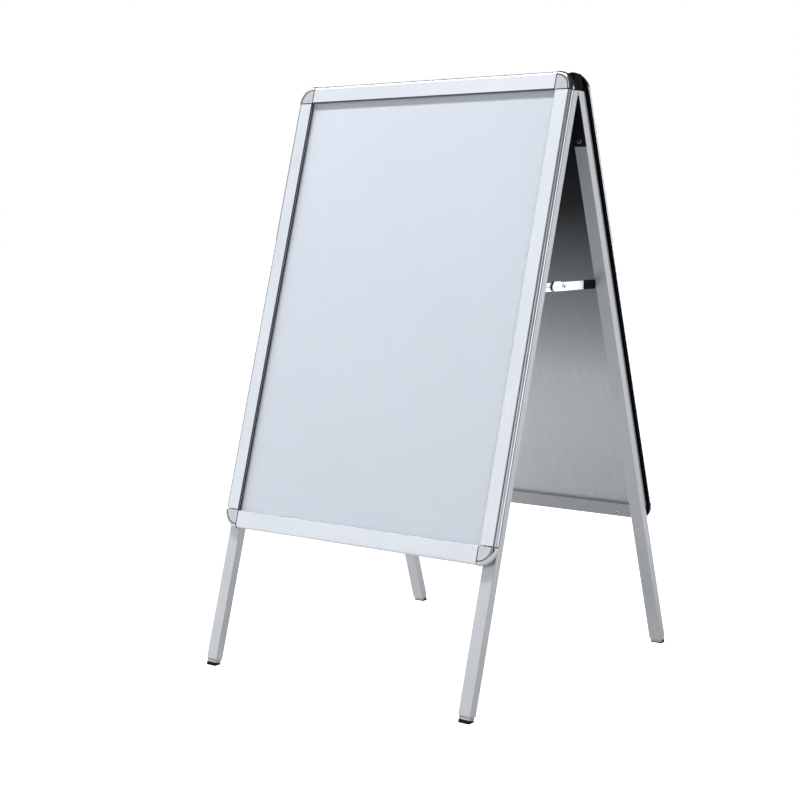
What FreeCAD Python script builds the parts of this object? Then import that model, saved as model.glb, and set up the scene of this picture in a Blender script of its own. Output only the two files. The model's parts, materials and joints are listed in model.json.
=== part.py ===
import FreeCAD, Part
import math
import os
import types

import Sketcher
from FreeCAD import Placement, Rotation, Vector

# Folding A-frame pavement sign with two snap-frame poster boards.
#
# World frame: X across the boards, Y from the front board to the back board, +Z up,
# origin on the floor in the middle of the footprint.
# Board frame: every board is drawn upright with the hinge axis as its X axis,
# +Z up the board and its outer face looking along -Y. The placements at the end lean it
# back about the hinge; the back board is the same board turned half a turn about Z.

DRIVING = {
    # whole board
    "tilt": 16.5,
    "visible_width": 574.0,
    "visible_height": 821.0,
    "rail_width": 34.0,
    "hinge_drop": 33.3,
    "leg_gap": 1.6,
    # legs
    "leg_width": 26.3,
    "leg_depth": 17.4,
    "leg_wall": 1.5,
    "leg_round": 1.2,
    "leg_end_drop": 1144.5,
    "leg_outer_x": 315.0,
    # snap rail and base profile, offset t outward from the visible edge, height w over the leg
    "face_height": 16.9,
    "rail_plate": 1.6,
    "rail_inner_t": 0.5,
    "rail_lip": 1.5,
    "rail_lip_foot": 9.5,
    "rail_end_gap": 1.9,
    "shoulder_t": 26.8,
    "shoulder_radius": 7.2,
    "pivot_t": 30.4,
    "pivot_height": 8.5,
    "bead_radius": 1.8,
    "bead_clearance": 0.06,
    "hook_wall": 1.3,
    "base_inner_t": 1.8,
    "base_web_t": 25.6,
    "base_outer_t": 29.5,
    "base_wall": 1.4,
    "ledge_height": 6.9,
    "ledge_t": 14.0,
    "stop_height": 9.5,
    "flange_drop": 0.3,
    "base_end_gap": 0.1,
    # sheets
    "panel_thickness": 0.7,
    "panel_overlap": 11.5,
    "poster_width": 594.0,
    "poster_height": 841.0,
    "poster_space": 0.3,
    "cover_thickness": 0.5,
    "sheet_corner": 4.0,
    # corner caps
    "cap_face_radius": 26.0,
    "cap_groove_width": 1.8,
    "cap_groove_depth": 2.2,
    "cap_rim_radius": 35.0,
    "cap_rim_round": 7.0,
    "cap_rim_foot": 7.6,
    "cap_skirt_radius": 30.0,
    "cap_skirt_wall": 2.0,
    "cap_floor": 1.6,
    "cap_top": 3.6,
    # top blocks and strap hinges
    "block_top_drop": 1.0,
    "block_foot_rise": 6.4,
    "meeting_gap": 0.25,
    "knuckle_room": 4.0,
    "block_tongue": 16.0,
    "tongue_clear": 0.2,
    "knuckle_radius": 3.0,
    "knuckle_clear": 0.4,
    "knuckle_side_gap": 0.2,
    "knuckle_outer_x": 312.0,
    "strap_outer_x": 314.6,
    "strap_width": 26.2,
    "strap_thickness": 1.2,
    "strap_end_drop": 129.0,
    "pin_radius": 1.6,
    "pin_clearance": 0.05,
    "pin_head_radius": 2.4,
    "pin_head": 0.8,
    # folding stays
    "stay_drop": 394.0,
    "arm_height": 16.0,
    "arm_thickness": 2.0,
    "front_arm_inset": 6.6,
    "rear_arm_inset": 3.5,
    "arm_tail": 38.0,
    "lip_start": 11.0,
    "lip_end": 33.0,
    "lip_thickness": 1.2,
    "lip_rise": 0.6,
    "lip_reach": 3.4,
    "stay_rivet_radius": 3.0,
    "stay_rivet_clearance": 0.05,
    "stay_rivet_head": 5.5,
    "stay_head_thickness": 1.1,
    "stay_side_gap": 0.3,
    "elbow_washer": 0.6,
    "elbow_washer_radius": 6.0,
    "sleeve_start": 66.5,
    "sleeve_end": 106.0,
    "sleeve_wall": 0.6,
    # springs
    "spring_length": 34.0,
    "spring_thickness": 0.6,
    # feet
    "plug_inset": 1.7,
    "plug_drop": 7.0,
    "plug_depth": 22.0,
    "pad_low": 2.2,
    "pad_inset": 1.5,
    # screws and rivets
    "screw_radius": 2.0,
    "screw_head_radius": 4.0,
    "screw_proud": 0.2,
    "screw_length": 9.0,
    "screw_high_drop": 41.2,
    "screw_low_drop": 119.0,
    "frame_rivet_radius": 2.0,
    "frame_rivet_head": 3.2,
    "frame_rivet_bulge": 2.6,
    "frame_rivet_cap": 1.0,
    "frame_rivet_t": 19.5,
    "corner_rivet_x": 247.0,
    "corner_rivet_rise": 12.5,
}

doc = FreeCAD.newDocument("SandwichBoard")
sheet = doc.addObject("Spreadsheet::Sheet", "Dimensions")
for row, (alias, number) in enumerate(DRIVING.items(), start=1):
    sheet.set("A%d" % row, alias.replace("_", " "))
    sheet.set("B%d" % row, str(number))
    sheet.setAlias("B%d" % row, alias)
doc.recompute()


class Size:
    """A number together with the spreadsheet expression that it comes from."""

    def __init__(self, number, text):
        self.number = number
        self.text = text

    def __add__(self, other):
        other = as_size(other)
        return Size(self.number + other.number, "(%s + %s)" % (self.text, other.text))

    def __sub__(self, other):
        other = as_size(other)
        return Size(self.number - other.number, "(%s - %s)" % (self.text, other.text))

    def __mul__(self, other):
        other = as_size(other)
        return Size(self.number * other.number, "(%s * %s)" % (self.text, other.text))

    def __truediv__(self, other):
        other = as_size(other)
        return Size(self.number / other.number, "(%s / %s)" % (self.text, other.text))

    def __neg__(self):
        return Size(-self.number, "(0 - %s)" % self.text)


def as_size(value):
    return value if isinstance(value, Size) else Size(float(value), repr(float(value)))


def tangent(angle):
    return Size(math.tan(math.radians(angle.number)), "tan(%s * 1 deg)" % angle.text)


def cosine(angle):
    return Size(math.cos(math.radians(angle.number)), "cos(%s * 1 deg)" % angle.text)


ZERO = as_size(0)
D = types.SimpleNamespace(
    **{alias: Size(float(sheet.get(alias)), "Dimensions." + alias) for alias in DRIVING}
)

# Places in the board frame that several sub-parts share.
FRAME_PLANE = D.leg_gap + D.leg_depth
LEG_X = D.leg_outer_x - D.leg_width / 2
SLOPE = tangent(D.tilt)
# The legs end, and the top blocks start, on one level plane above the hinge axis.
LEVEL_Z = D.block_foot_rise / cosine(D.tilt)
LEG_TOP_Z = LEVEL_Z - D.leg_gap * SLOPE
LEG_LENGTH = D.leg_end_drop - D.hinge_drop + LEG_TOP_Z
VISIBLE_TOP_Z = D.hinge_drop - D.rail_width
VISIBLE_MID_Z = VISIBLE_TOP_Z - D.visible_height / 2
STAY_Z = D.hinge_drop - D.stay_drop
STAY_NORMAL = D.leg_gap + D.leg_depth / 2
LEG_INNER_X = D.leg_outer_x - D.leg_width

TILT = math.radians(D.tilt.number)
# Each arm of a folding stay reaches from its leg pivot to the elbow on the plane Y = 0.
ARM_LENGTH = -STAY_Z.number * math.sin(TILT) + STAY_NORMAL.number * math.cos(TILT)


# ---------------------------------------------------------------- sketch and feature helpers

def origin_plane(body, role):
    return next(item for item in body.Origin.OriginFeatures if item.Role == role)


def new_sketch(body, role, name, offset=ZERO):
    """An empty sketch on one of the body's own origin planes, lifted along its normal."""
    sketch = body.newObject("Sketcher::SketchObject", name)
    sketch.AttachmentSupport = [(origin_plane(body, role), "")]
    sketch.MapMode = "FlatFace"
    if offset is not ZERO:
        sketch.setExpression("AttachmentOffset.Base.z", offset.text)
    return sketch


def hold(sketch, kind, geometry, point, size):
    """One bound coordinate: kind is DistanceX or DistanceY, measured from the origin."""
    index = sketch.addConstraint(Sketcher.Constraint(kind, -1, 1, geometry, point, size.number))
    sketch.setExpression("Constraints[%d]" % index, size.text)


def corner(x, y, held="xy", arc=None):
    """An outline vertex; arc = (centre x, centre y, radius, clockwise) bends the next edge."""
    return types.SimpleNamespace(x=as_size(x), y=as_size(y), held=held, arc=arc)


def add_outline(sketch, corners):
    """A closed outline of straight and round edges with every vertex bound to the sheet."""
    first = sketch.GeometryCount
    count = len(corners)
    starts = []
    for number, here in enumerate(corners):
        there = corners[(number + 1) % count]
        start = Vector(here.x.number, here.y.number, 0)
        end = Vector(there.x.number, there.y.number, 0)
        if here.arc is None:
            sketch.addGeometry(Part.LineSegment(start, end), False)
            starts.append((1, 2))
            continue
        centre_x, centre_y, radius, clockwise = here.arc
        centre = Vector(centre_x.number, centre_y.number, 0)
        angles = [math.atan2(p.y - centre.y, p.x - centre.x) for p in (start, end)]
        if clockwise:
            angles.reverse()
        circle = Part.Circle(centre, Vector(0, 0, 1), radius.number)
        sketch.addGeometry(Part.ArcOfCircle(circle, angles[0], angles[1]), False)
        starts.append((2, 1) if clockwise else (1, 2))
    for number, here in enumerate(corners):
        following = (number + 1) % count
        sketch.addConstraint(
            Sketcher.Constraint(
                "Coincident",
                first + number,
                starts[number][1],
                first + following,
                starts[following][0],
            )
        )
        if "x" in here.held:
            hold(sketch, "DistanceX", first + number, starts[number][0], here.x)
        if "y" in here.held:
            hold(sketch, "DistanceY", first + number, starts[number][0], here.y)
        if here.arc is not None:
            centre_x, centre_y, radius, clockwise = here.arc
            hold(sketch, "DistanceX", first + number, 3, centre_x)
            hold(sketch, "DistanceY", first + number, 3, centre_y)
            index = sketch.addConstraint(
                Sketcher.Constraint("Radius", first + number, radius.number)
            )
            sketch.setExpression("Constraints[%d]" % index, radius.text)


def add_rectangle(sketch, low_x, low_y, high_x, high_y):
    add_outline(
        sketch,
        [corner(low_x, low_y), corner(high_x, low_y), corner(high_x, high_y), corner(low_x, high_y)],
    )


def add_circle(sketch, x, y, radius):
    x = as_size(x)
    y = as_size(y)
    geometry = sketch.addGeometry(
        Part.Circle(Vector(x.number, y.number, 0), Vector(0, 0, 1), radius.number), False
    )
    hold(sketch, "DistanceX", geometry, 3, x)
    hold(sketch, "DistanceY", geometry, 3, y)
    index = sketch.addConstraint(Sketcher.Constraint("Radius", geometry, radius.number))
    sketch.setExpression("Constraints[%d]" % index, radius.text)


def add_slot(sketch, x_from, x_to, radius):
    """A round-ended bar outline along the sketch's X axis."""
    add_outline(
        sketch,
        [
            corner(x_from, -radius, held="x"),
            corner(x_to, -radius, held="x", arc=(x_to, ZERO, radius, False)),
            corner(x_to, radius, held="x"),
            corner(x_from, radius, held="x", arc=(x_from, ZERO, radius, False)),
        ],
    )


def new_body(label):
    body = doc.addObject("PartDesign::Body", "Body_" + label)
    body.Label = label
    return body


def extrude(body, kind, sketch, length, side="Symmetric"):
    """A Pad or Pocket of the sketch; side is Symmetric, Along or Against its normal."""
    feature = body.newObject("PartDesign::" + kind, kind + "_" + sketch.Name)
    feature.Profile = sketch
    feature.SideType = "Symmetric" if side == "Symmetric" else "One side"
    feature.Reversed = side == "Against"
    feature.setExpression("Length", as_size(length).text)
    return feature


def cut(body, sketch, length):
    """A symmetric pocket that has to take material away."""
    doc.recompute()
    before = body.Shape.Volume
    feature = extrude(body, "Pocket", sketch, length)
    doc.recompute()
    if body.Shape.Volume > before - 1e-6:
        raise RuntimeError("a pocket removed nothing from " + body.Label)
    return feature


def drill(body, role, name, places, radius, offset, depth):
    """Round holes at sketch places, cut half of depth to each side of the lifted plane."""
    sketch = new_sketch(body, role, name, offset)
    for x, y in places:
        add_circle(sketch, x, y, radius)
    return cut(body, sketch, depth)


def revolve(body, sketch, angle=360.0):
    """The sketch turned about its own vertical axis."""
    feature = body.newObject("PartDesign::Revolution", "Turn_" + sketch.Name)
    feature.Profile = sketch
    feature.ReferenceAxis = (sketch, ["V_Axis"])
    feature.Angle = angle
    return feature


def group(label, masters_and_places):
    """Loose copies of master bodies gathered in one sub-part of separate solids."""
    links = []
    for number, (master, place) in enumerate(masters_and_places):
        link = doc.addObject("App::Link", "%s_copy_%d" % (label, number))
        link.LinkedObject = master
        link.Placement = place
        links.append(link)
    compound = doc.addObject("Part::Compound", "Group_" + label)
    compound.Links = links
    compound.Label = label
    return compound


def shift(x=ZERO, y=ZERO, z=ZERO, rotation=None):
    place = Vector(as_size(x).number, as_size(y).number, as_size(z).number)
    return Placement(place, rotation or Rotation())


# ---------------------------------------------------------------- legs and feet

def make_leg(label, side):
    """Rectangular tube, origin at the middle of its top end; side is +1 for +X."""
    body = new_body(label)
    section = new_sketch(body, "XY_Plane", "section_" + label)
    half_width = D.leg_width / 2
    half_depth = D.leg_depth / 2
    add_rectangle(section, -half_width, -half_depth, half_width, half_depth)
    tube = extrude(body, "Pad", section, LEG_LENGTH, "Against")
    doc.recompute()
    fillet = body.newObject("PartDesign::Fillet", "rounds_" + label)
    edges = [
        "Edge%d" % (number + 1)
        for number, edge in enumerate(tube.Shape.Edges)
        if edge.Length > LEG_LENGTH.number - 1
    ]
    fillet.Base = (tube, edges)
    fillet.setExpression("Radius", D.leg_round.text)
    bore = new_sketch(body, "XY_Plane", "bore_" + label)
    inner_width = half_width - D.leg_wall
    inner_depth = half_depth - D.leg_wall
    add_rectangle(bore, -inner_width, -inner_depth, inner_width, inner_depth)
    cut(body, bore, LEG_LENGTH * 2 + 2)

    level = new_sketch(body, "YZ_Plane", "level_" + label)
    reach = half_depth + 1
    add_outline(
        level,
        [
            corner(-reach, -(half_depth + reach) * SLOPE),
            corner(reach, (reach - half_depth) * SLOPE),
            corner(reach, reach),
            corner(-reach, reach),
        ],
    )
    cut(body, level, D.leg_width * 2)
    meeting = new_sketch(body, "YZ_Plane", "meeting_" + label)
    plane_y = D.leg_gap + half_depth - D.meeting_gap
    add_outline(
        meeting,
        [
            corner(plane_y, -LEG_TOP_Z),
            corner(plane_y + D.meeting_gap + 1, -LEG_TOP_Z),
            corner(plane_y + D.meeting_gap + 1, D.block_foot_rise),
            corner(plane_y - (LEG_TOP_Z + D.block_foot_rise) * SLOPE, D.block_foot_rise),
        ],
    )
    cut(body, meeting, D.leg_width * 2)
    room = new_sketch(body, "XY_Plane", "knuckle_room_" + label)
    room_x = (D.knuckle_outer_x + D.pin_head + D.tongue_clear - LEG_X) * side
    room_y = half_depth + D.leg_gap - D.knuckle_room
    add_rectangle(room, -(half_width + 1) * side, room_y, room_x, half_depth + 1)
    cut(body, room, (D.knuckle_room + LEG_TOP_Z) * 2)

    inner_wall = -(half_width - D.leg_wall / 2) * side
    drill(
        body,
        "YZ_Plane",
        "pivot_hole_" + label,
        [(ZERO, STAY_Z - LEG_TOP_Z)],
        D.stay_rivet_radius,
        inner_wall,
        D.leg_wall * 2,
    )
    back_wall = -(half_depth - D.leg_wall / 2)
    drill(
        body,
        "XZ_Plane",
        "screw_holes_" + label,
        [(x - LEG_X * side, z - LEG_TOP_Z) for x, z in strap_screw_places(side)],
        D.screw_radius,
        back_wall,
        D.leg_wall * 2,
    )
    rivet_x = (D.visible_width / 2 + D.frame_rivet_t - LEG_X) * side
    drill(
        body,
        "XZ_Plane",
        "rivet_holes_" + label,
        [(rivet_x, VISIBLE_MID_Z - LEG_TOP_Z + z) for z in frame_rivet_heights()],
        D.frame_rivet_radius,
        -back_wall,
        D.leg_wall * 2,
    )
    return body


def strap_screw_places(side):
    """Both screws of a hinge strap in the board frame (x, z)."""
    middle = (D.strap_outer_x - D.strap_width / 2) * side
    return [(middle, D.hinge_drop - drop) for drop in (D.screw_high_drop, D.screw_low_drop)]


def frame_rivet_heights():
    """Rivets between leg and upright base profile, measured from the middle of the frame."""
    reach = D.visible_height / 2
    return [reach * -0.9, reach * 0.12, reach * 0.9]


def make_foot_plug():
    """Plastic plug pushed into a leg's end, origin at the middle of the tube's end."""
    body = new_body("foot_plug_master")
    block = new_sketch(body, "XY_Plane", "foot_plug_block", -D.plug_drop)
    half_width = D.leg_width / 2 - D.plug_inset
    half_depth = D.leg_depth / 2 - D.plug_inset
    add_rectangle(block, -half_width, -half_depth, half_width, half_depth)
    extrude(body, "Pad", block, D.plug_drop + D.plug_depth, "Along")
    return body


def make_foot_pad():
    """Rubber pad under a plug; its underside is level when the board leans at its angle."""
    body = new_body("foot_pad_master")
    profile = new_sketch(body, "YZ_Plane", "foot_pad_profile")
    half_depth = D.leg_depth / 2 - D.pad_inset
    half_width = D.leg_width / 2 - D.pad_inset
    top = -D.plug_drop
    slope = tangent(D.tilt)
    add_outline(
        profile,
        [
            corner(-half_depth, top),
            corner(-half_depth, top - D.pad_low - half_depth * 2 * slope),
            corner(half_depth, top - D.pad_low),
            corner(half_depth, top),
        ],
    )
    extrude(body, "Pad", profile, half_width * 2)
    return body


# ---------------------------------------------------------------- snap frame

def make_base(label, length, rivets, back_rivets=()):
    """Extruded base profile: X is the offset t from the visible edge, -Y the height w.

    Its outer side is an open groove between the floor and the flange that carries the bead.
    """
    body = new_body(label)
    wall = D.base_wall
    section = new_sketch(body, "XY_Plane", "section_" + label)
    flange_top = D.pivot_height - D.flange_drop
    add_outline(
        section,
        [
            corner(D.base_inner_t, ZERO),
            corner(D.base_outer_t, ZERO),
            corner(D.base_outer_t, -wall),
            corner(D.base_web_t, -wall),
            corner(D.base_web_t, wall - flange_top),
            corner(D.base_outer_t, wall - flange_top),
            corner(D.base_outer_t, -flange_top),
            corner(D.base_web_t - wall, -flange_top),
            corner(D.base_web_t - wall, -wall),
            corner(D.ledge_t, -wall),
            corner(D.ledge_t, -D.stop_height),
            corner(D.ledge_t - wall, -D.stop_height),
            corner(D.ledge_t - wall, -D.ledge_height),
            corner(D.base_inner_t, -D.ledge_height),
        ],
    )
    add_rectangle(
        section, D.base_inner_t + wall, wall - D.ledge_height, D.ledge_t - wall, -wall
    )
    extrude(body, "Pad", section, length)
    bead = new_sketch(body, "XY_Plane", "bead_" + label)
    add_circle(bead, D.pivot_t, -D.pivot_height, D.bead_radius)
    extrude(body, "Pad", bead, length)
    places = [(D.frame_rivet_t, z) for z in rivets]
    places += [(t, z) for t, z in back_rivets]
    if places:
        drill(
            body,
            "XZ_Plane",
            "holes_" + label,
            places,
            D.frame_rivet_radius,
            wall / 2,
            wall * 1.5,
        )
    return body


def make_rail(label, length):
    """Snap rail in the same section frame; its hook turns on the bead near its outer edge."""
    body = new_body(label)
    underside = D.face_height - D.rail_plate
    nose = D.rail_plate / 2
    centre_height = D.face_height - D.shoulder_radius
    inner_radius = D.shoulder_radius - D.rail_plate
    outer_t = D.shoulder_t + D.shoulder_radius
    shell = new_sketch(body, "XY_Plane", "shell_" + label)
    add_outline(
        shell,
        [
            corner(outer_t, -D.pivot_height),
            corner(outer_t - D.rail_plate, -D.pivot_height),
            corner(
                D.shoulder_t + inner_radius,
                -centre_height,
                held="y",
                arc=(D.shoulder_t, -centre_height, inner_radius, True),
            ),
            corner(D.shoulder_t, -underside, held="x"),
            corner(D.rail_inner_t + D.rail_lip, -underside),
            corner(D.rail_inner_t + D.rail_lip, -D.rail_lip_foot),
            corner(D.rail_inner_t, -D.rail_lip_foot),
            corner(
                D.rail_inner_t,
                nose - D.face_height,
                held="y",
                arc=(D.rail_inner_t + nose, nose - D.face_height, nose, False),
            ),
            corner(D.rail_inner_t + nose, -D.face_height, held="x"),
            corner(
                D.shoulder_t,
                -D.face_height,
                held="x",
                arc=(D.shoulder_t, -centre_height, D.shoulder_radius, False),
            ),
            corner(outer_t, -centre_height, held="y"),
        ],
    )
    rail_length = length - D.rail_end_gap * 2
    extrude(body, "Pad", shell, rail_length)
    hook_inner = D.bead_radius + D.bead_clearance
    hook_outer = hook_inner + D.hook_wall
    hook = new_sketch(body, "XY_Plane", "hook_" + label)
    add_outline(
        hook,
        [
            corner(D.pivot_t + hook_outer, -D.pivot_height, held="y"),
            corner(
                D.pivot_t + hook_inner,
                -D.pivot_height,
                held="y",
                arc=(D.pivot_t, -D.pivot_height, hook_inner, True),
            ),
            corner(D.pivot_t - hook_inner, -D.pivot_height, held="y"),
            corner(
                D.pivot_t - hook_outer,
                -D.pivot_height,
                held="y",
                arc=(D.pivot_t, -D.pivot_height, hook_outer, False),
            ),
        ],
    )
    extrude(body, "Pad", hook, rail_length)
    return body


def make_spring():
    """Bent leaf spring that stands in the base trough and leans out toward the rail's hook."""
    body = new_body("spring_master")
    section = new_sketch(body, "XY_Plane", "spring_section")
    floor = D.base_wall
    thickness = D.spring_thickness
    foot_t = D.ledge_t + 1.0
    bend_t = foot_t + 3.0
    knee_t = D.base_web_t - D.base_wall - 2.4
    knee_height = D.pivot_height + 0.4
    tip_t = D.pivot_t - 4.0
    tip_height = knee_height + 0.8
    add_outline(
        section,
        [
            corner(foot_t, -floor),
            corner(bend_t + thickness, -floor),
            corner(knee_t + thickness, -knee_height),
            corner(tip_t, -tip_height),
            corner(tip_t, -(tip_height + thickness)),
            corner(knee_t, -(knee_height + thickness)),
            corner(bend_t, -(floor + thickness)),
            corner(foot_t, -(floor + thickness)),
        ],
    )
    extrude(body, "Pad", section, D.spring_length)
    return body


def make_cap(label):
    """Quarter-round corner cap: hollow shell turned about the visible corner."""
    body = new_body(label)
    section = new_sketch(body, "XY_Plane", "section_" + label)
    face = D.cap_face_radius
    groove = face + D.cap_groove_width
    round_centre = D.cap_rim_radius - D.cap_rim_round
    shell = D.cap_skirt_radius - D.cap_skirt_wall
    crown = D.face_height - 0.1
    add_outline(
        section,
        [
            corner(ZERO, ZERO),
            corner(D.cap_skirt_radius, ZERO),
            corner(D.cap_skirt_radius, -(D.cap_rim_foot - 1.0)),
            corner(D.cap_rim_radius, -D.cap_rim_foot),
            corner(
                D.cap_rim_radius,
                D.cap_rim_round - crown,
                held="y",
                arc=(round_centre, D.cap_rim_round - crown, D.cap_rim_round, True),
            ),
            corner(round_centre, -crown, held="x"),
            corner(groove, -crown),
            corner(groove, D.cap_groove_depth - D.face_height),
            corner(face, D.cap_groove_depth - D.face_height),
            corner(face, -D.face_height),
            corner(ZERO, -D.face_height),
            corner(ZERO, D.cap_top - D.face_height),
            corner(shell, D.cap_top - D.face_height),
            corner(shell, -D.cap_floor),
            corner(ZERO, -D.cap_floor),
        ],
    )
    revolve(body, section, 90.0)
    return body


def make_sheet(label, width, height, thickness):
    """Flat rectangular sheet with clipped corners, lying on the plane Y = 0."""
    body = new_body(label)
    outline = new_sketch(body, "XZ_Plane", "outline_" + label)
    half_width = width / 2
    half_height = height / 2
    cut_x = half_width - D.sheet_corner
    cut_y = half_height - D.sheet_corner
    add_outline(
        outline,
        [
            corner(-cut_x, -half_height),
            corner(cut_x, -half_height),
            corner(half_width, -cut_y),
            corner(half_width, cut_y),
            corner(cut_x, half_height),
            corner(-cut_x, half_height),
            corner(-half_width, cut_y),
            corner(-half_width, -cut_y),
        ],
    )
    extrude(body, "Pad", outline, thickness, "Along")
    return body


# ---------------------------------------------------------------- top blocks and hinges

def add_slab(body, name, x_range, n_range, z_range, side):
    """A box in the board frame: |x|, outward normal n and z ranges on one side."""
    sketch = new_sketch(body, "YZ_Plane", name, (x_range[0] + x_range[1]) / 2 * side)
    add_rectangle(sketch, -n_range[1], z_range[0], -n_range[0], z_range[1])
    extrude(body, "Pad", sketch, x_range[1] - x_range[0])


def make_top_block(label, side):
    """Moulded block plugged into a leg's top, sloped so that both blocks meet when open."""
    body = new_body(label)
    top = D.hinge_drop - D.block_top_drop
    joint_z = (LEVEL_Z - D.meeting_gap * SLOPE) / (SLOPE * SLOPE + 1)

    profile = new_sketch(body, "YZ_Plane", "profile_" + label, LEG_X * side)
    add_outline(
        profile,
        [
            corner(-FRAME_PLANE, LEVEL_Z - FRAME_PLANE * SLOPE),
            corner(-(joint_z * SLOPE + D.meeting_gap), joint_z),
            corner(-(top * SLOPE + D.meeting_gap), top),
            corner(-FRAME_PLANE, top),
        ],
    )
    extrude(body, "Pad", profile, D.leg_width)
    inset = D.leg_wall + D.tongue_clear
    add_slab(
        body,
        "tongue_" + label,
        (LEG_INNER_X + inset, D.leg_outer_x - inset),
        (D.knuckle_room + D.tongue_clear, FRAME_PLANE - inset),
        (-D.block_tongue, LEG_TOP_Z),
        side,
    )
    drill(
        body,
        "XZ_Plane",
        "screw_room_" + label,
        strap_screw_places(side)[:1],
        D.screw_radius + D.tongue_clear,
        D.leg_gap,
        FRAME_PLANE * 2,
    )
    return body


def knuckle_spans(odd):
    """X spans of a leaf's own knuckles: the odd or the even fifths of the strap's width."""
    low = D.strap_outer_x - D.strap_width
    fifth = (D.knuckle_outer_x - low) / 5
    gap = D.knuckle_side_gap / 2
    return [
        (low + fifth * number + gap, low + fifth * (number + 1) - gap)
        for number in range(0 if odd else 1, 5, 2)
    ]


def make_hinge_strap(label, side, knuckles):
    """Strap leaf on the leg's inner face with its knuckles round the hinge axis."""
    body = new_body(label)
    leaf = (D.leg_gap - D.strap_thickness, D.leg_gap)
    leaf_top = -(D.knuckle_radius + D.knuckle_clear)
    strap_low = D.strap_outer_x - D.strap_width
    strap_end = D.hinge_drop - D.strap_end_drop
    add_slab(
        body, "leaf_" + label, (strap_low, D.strap_outer_x), leaf, (strap_end, leaf_top), side
    )
    for number, (low, high) in enumerate(knuckles):
        tag = "%d_%s" % (number, label)
        add_slab(body, "web_" + tag, (low, high), leaf, (leaf_top - 1, ZERO), side)
        barrel = new_sketch(body, "YZ_Plane", "barrel_" + tag, (low + high) / 2 * side)
        add_circle(barrel, ZERO, ZERO, D.knuckle_radius)
        extrude(body, "Pad", barrel, high - low)
    middle = (D.strap_outer_x - D.strap_width / 2) * side
    bore = D.pin_radius + D.pin_clearance
    drill(body, "YZ_Plane", "bore_" + label, [(ZERO, ZERO)], bore, middle, D.strap_width * 2)
    drill(
        body,
        "XZ_Plane",
        "screw_holes_" + label,
        strap_screw_places(side),
        D.screw_head_radius,
        D.leg_gap - D.strap_thickness / 2,
        D.strap_thickness * 2,
    )
    return body


def make_hinge_pin(label, side):
    """Pin along the hinge axis with a small head at each end, in the board frame."""
    body = new_body(label)
    low = D.strap_outer_x - D.strap_width
    shank = new_sketch(body, "YZ_Plane", "shank_" + label, (low + D.knuckle_outer_x) / 2 * side)
    add_circle(shank, ZERO, ZERO, D.pin_radius)
    extrude(body, "Pad", shank, D.knuckle_outer_x - low + D.pin_head)
    for word, end in (("outer", D.knuckle_outer_x), ("inner", low - D.pin_head)):
        middle = (end + D.pin_head / 2) * side
        head = new_sketch(body, "YZ_Plane", "%s_head_%s" % (word, label), middle)
        add_circle(head, ZERO, ZERO, D.pin_head_radius)
        extrude(body, "Pad", head, D.pin_head)
    return body


# ---------------------------------------------------------------- folding stays

def make_front_arm(label):
    """Flat bar from its leg pivot at the origin along +Y to the elbow."""
    body = new_body(label)
    bar = new_sketch(body, "YZ_Plane", "bar_" + label)
    radius = D.arm_height / 2
    elbow = Size(ARM_LENGTH, repr(ARM_LENGTH))
    add_slot(bar, ZERO, elbow, radius)
    for place in (ZERO, elbow):
        add_circle(bar, place, ZERO, D.stay_rivet_radius + D.stay_rivet_clearance)
    extrude(body, "Pad", bar, D.arm_thickness)
    return body


def make_rear_arm(label, side):
    """Bar from its leg pivot at the origin along -Y past the elbow, with a lip over its tail."""
    body = new_body(label)
    bar = new_sketch(body, "YZ_Plane", "bar_" + label)
    radius = D.arm_height / 2
    elbow = Size(-ARM_LENGTH, repr(-ARM_LENGTH))
    tail = elbow - D.arm_tail + radius
    add_slot(bar, tail, ZERO, radius)
    for place in (ZERO, elbow):
        add_circle(bar, place, ZERO, D.stay_rivet_radius + D.stay_rivet_clearance)
    extrude(body, "Pad", bar, D.arm_thickness)
    half = D.arm_thickness / 2
    web = new_sketch(body, "YZ_Plane", "lip_web_" + label)
    lip_low = radius + D.lip_rise
    lip_high = lip_low + D.lip_thickness
    add_rectangle(web, elbow - D.lip_end, radius - 1, elbow - D.lip_start, lip_high)
    extrude(body, "Pad", web, D.arm_thickness)
    lip = new_sketch(body, "YZ_Plane", "lip_" + label, (half + D.lip_reach / 2 - 0.5) * -side)
    add_rectangle(lip, elbow - D.lip_end, lip_low, elbow - D.lip_start, lip_high)
    extrude(body, "Pad", lip, D.lip_reach + 1)
    return body


def make_sleeve(label):
    """Plastic sleeve gripped round the rear arm, in the rear arm's frame."""
    body = new_body(label)
    section = new_sketch(body, "YZ_Plane", "section_" + label)
    half_height = D.arm_height / 2
    near = D.sleeve_end - ARM_LENGTH
    far = D.sleeve_start - ARM_LENGTH
    outer = half_height + D.sleeve_wall
    add_rectangle(section, far, -outer, near, outer)
    extrude(body, "Pad", section, D.arm_thickness + D.sleeve_wall * 2)
    slot = new_sketch(body, "YZ_Plane", "slot_" + label)
    add_rectangle(slot, far - 1, -half_height, near + 1, half_height)
    cut(body, slot, D.arm_thickness)
    return body


def make_pivot_rivet(label, inset):
    """Rivet along +X from the stay's free side into the leg; X = 0 is the leg's inner face.

    inset is how far the middle of the arm lies inside the leg face.
    """
    body = new_body(label)
    half = D.arm_thickness / 2
    arm_near = half - inset
    arm_far = -half - inset
    gap = D.stay_side_gap
    discs = [
        ("head", arm_far - gap - D.stay_head_thickness, arm_far - gap, D.stay_rivet_head),
        ("shank", arm_far - gap, D.leg_wall, D.stay_rivet_radius),
        ("spacer", arm_near + gap, ZERO, D.stay_rivet_head),
        ("tail", D.leg_wall, D.leg_wall + D.stay_head_thickness, D.stay_rivet_head - 1),
    ]
    for word, low, high, radius in discs:
        disc = new_sketch(body, "YZ_Plane", word + "_" + label, (low + high) / 2)
        add_circle(disc, ZERO, ZERO, radius)
        extrude(body, "Pad", disc, high - low)
    return body


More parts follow.
